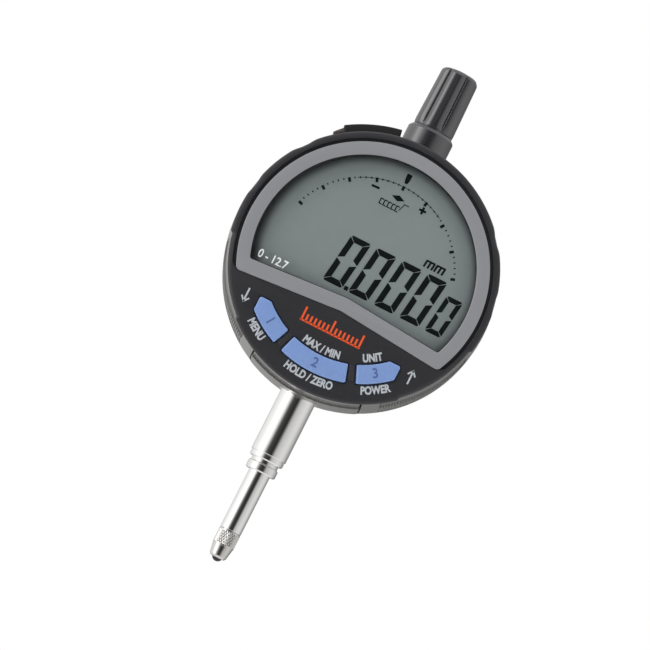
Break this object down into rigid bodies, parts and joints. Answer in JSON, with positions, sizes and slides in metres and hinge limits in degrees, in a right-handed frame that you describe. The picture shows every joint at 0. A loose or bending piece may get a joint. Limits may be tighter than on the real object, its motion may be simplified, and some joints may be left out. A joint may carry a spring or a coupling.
{
  "type": "dial indicator",
  "caption": "Digital dial indicator with a round display that turns, push buttons, a plunger with a ball contact point, a clamping stem and a lug back.",
  "frame": {"origin": "on the spindle's axis, at the middle of the stem's clamping length", "axes": "+Z along the spindle from the contact point to the cap, the display faces -Y, +X to the right of the display"},
  "size_m": [0.0586, 0.0389, 0.1168],
  "materials": {
    "case_metal": "fine satin die-cast surface",
    "hard_chrome": "ground and hard chrome plated",
    "bush_steel": "turned and polished",
    "contact_steel": "knurled and turned steel",
    "carbide": "polished tungsten carbide",
    "rubber": "matte black rubber",
    "brass": "turned",
    "cap_plastic": "fine moulded texture",
    "screw_steel": "plain",
    "spring_steel": "drawn wire",
    "inner_metal": "machined",
    "circuit_board": "solder resist",
    "flex_film": "polyimide film",
    "inner_plastic": "moulded",
    "cell_steel": "nickel plated",
    "scale_glass": "glass scale with a fine pattern",
    "bezel_plastic": "satin moulded, with light printed marks",
    "frame_silver": "satin grey paint",
    "clear_window": "clear and polished",
    "lcd_glass": "greenish grey reflective display",
    "reflector_film": "satin film",
    "zebra_rubber": "layered elastomer",
    "button_blue": "satin light blue"
  },
  "bodies": {
    "case": {"case": "case_metal", "stem": "hard_chrome", "lower_bush": "bush_steel", "spindle_wiper": "rubber", "stop_buffer": "rubber", "upper_bush": "brass", "top_collar": "cap_plastic", "spindle_cap": "cap_plastic", "cover_gasket": "rubber", "back_cover": "case_metal", "cover_screws": "screw_steel", "guide_rail": "brass", "rail_screws": "screw_steel", "detector_bracket": "inner_metal", "bracket_screws": "screw_steel", "detector_head": "circuit_board", "return_spring": "spring_steel", "sensor_board": "circuit_board", "board_screws": "screw_steel", "flex_cable": "flex_film", "battery_holder": "inner_plastic", "battery_contact": "brass", "battery": "cell_steel", "battery_seal": "rubber", "battery_cover": "cap_plastic", "data_connector": "inner_plastic", "connector_pins": "brass", "connector_cap": "rubber", "drum_seal": "rubber"},
    "spindle": {"spindle": "hard_chrome", "contact_point": "contact_steel", "contact_ball": "carbide", "stop_ring": "screw_steel", "scale_carrier": "inner_metal", "linear_scale": "scale_glass", "guide_pin": "screw_steel"},
    "display": {"bezel": "bezel_plastic", "window_frame": "frame_silver", "display_window": "clear_window", "lcd_holder": "inner_plastic", "lcd_panel": "lcd_glass", "reflector": "reflector_film", "zebra_strip": "zebra_rubber", "display_board": "circuit_board", "driver_chips": "inner_plastic", "key_domes": "rubber", "display_drum": "inner_plastic", "drum_screws": "screw_steel", "friction_ring": "rubber", "retaining_ring": "screw_steel"},
    "button_f1": {"button_f1": "button_blue"},
    "button_f2": {"button_f2": "button_blue"},
    "button_f3": {"button_f3": "button_blue"}
  },
  "joints": [
    {"name": "spindle_slide", "type": "slide", "parent": "case", "child": "spindle", "axis": [0, 0, 1], "range_m": [0, 0.0127], "stiffness_N_per_m": 50, "springref_m": -0.02, "deforming": ["return_spring"]},
    {"name": "display_turn", "type": "hinge", "parent": "case", "child": "display", "pos_m": [0, -0.01, 0.03635], "axis": [0, -1, 0], "range_deg": [-165, 165]},
    {"name": "press_f1", "type": "slide", "parent": "display", "child": "button_f1", "axis": [0, 1, 0], "range_m": [0, 0.0005], "stiffness_N_per_m": 1500, "springref_m": -0.0004},
    {"name": "press_f2", "type": "slide", "parent": "display", "child": "button_f2", "axis": [0, 1, 0], "range_m": [0, 0.0005], "stiffness_N_per_m": 1500, "springref_m": -0.0004},
    {"name": "press_f3", "type": "slide", "parent": "display", "child": "button_f3", "axis": [0, 1, 0], "range_m": [0, 0.0005], "stiffness_N_per_m": 1500, "springref_m": -0.0004}
  ]
}
